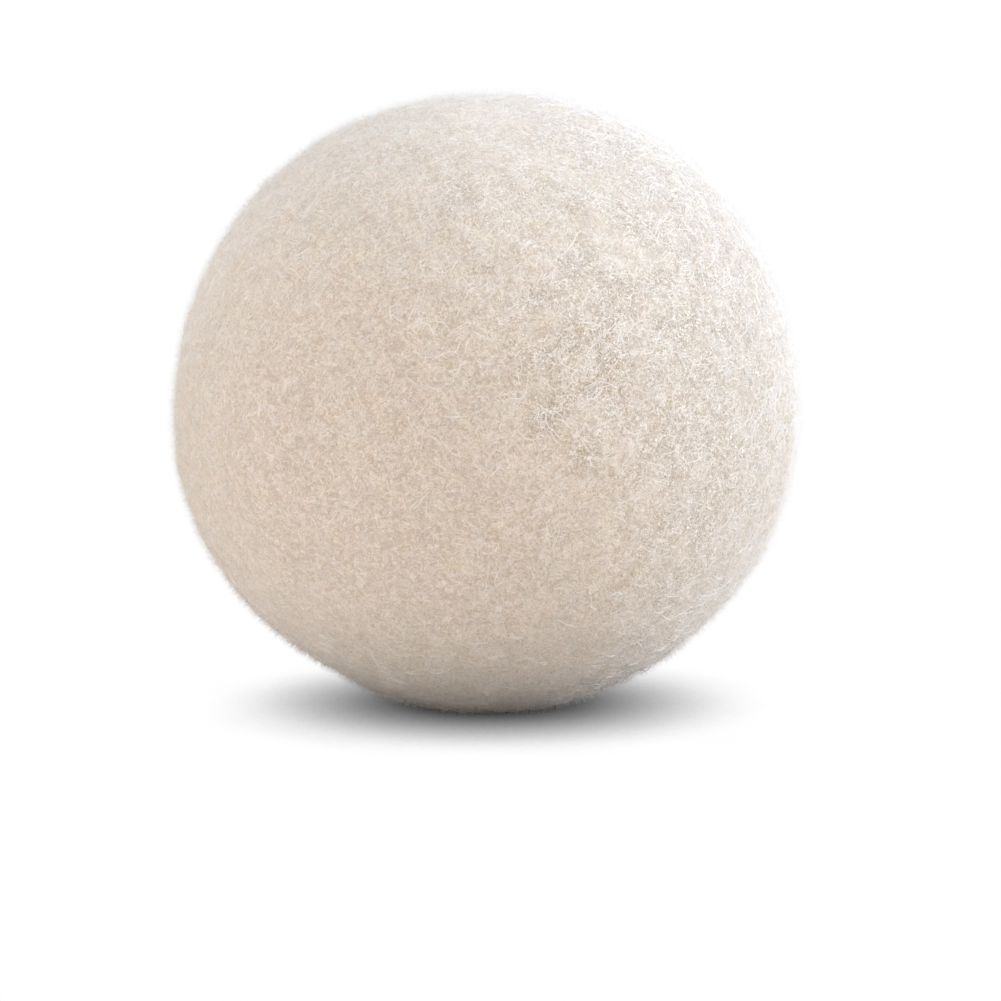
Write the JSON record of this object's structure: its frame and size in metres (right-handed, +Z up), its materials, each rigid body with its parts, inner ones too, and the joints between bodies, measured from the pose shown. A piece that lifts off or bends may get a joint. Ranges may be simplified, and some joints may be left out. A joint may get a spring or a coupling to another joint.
{
  "type": "dryer ball",
  "caption": "Felted wool ball for a tumble dryer: a rolled wool core wrapped in layers of batt under a fine fibrous cover, settled a little flat where it rests.",
  "frame": {"origin": "middle of the flat patch that the ball rests on", "axes": "+Z up through the crown, on the ball's axis of revolution"},
  "size_m": [0.07, 0.07, 0.069],
  "materials": {
    "core_wool": "coarse carded wool, rolled and matted",
    "batt_wool": "carded wool batt, felted",
    "cover_wool": "fine cream wool, felted, with matted surface fibres"
  },
  "bodies": {
    "root": {"core_roll": "core_wool", "first_wrap": "batt_wool", "second_wrap": "batt_wool", "third_wrap": "batt_wool", "fourth_wrap": "batt_wool", "felt_cover": "cover_wool"}
  },
  "joints": []
}
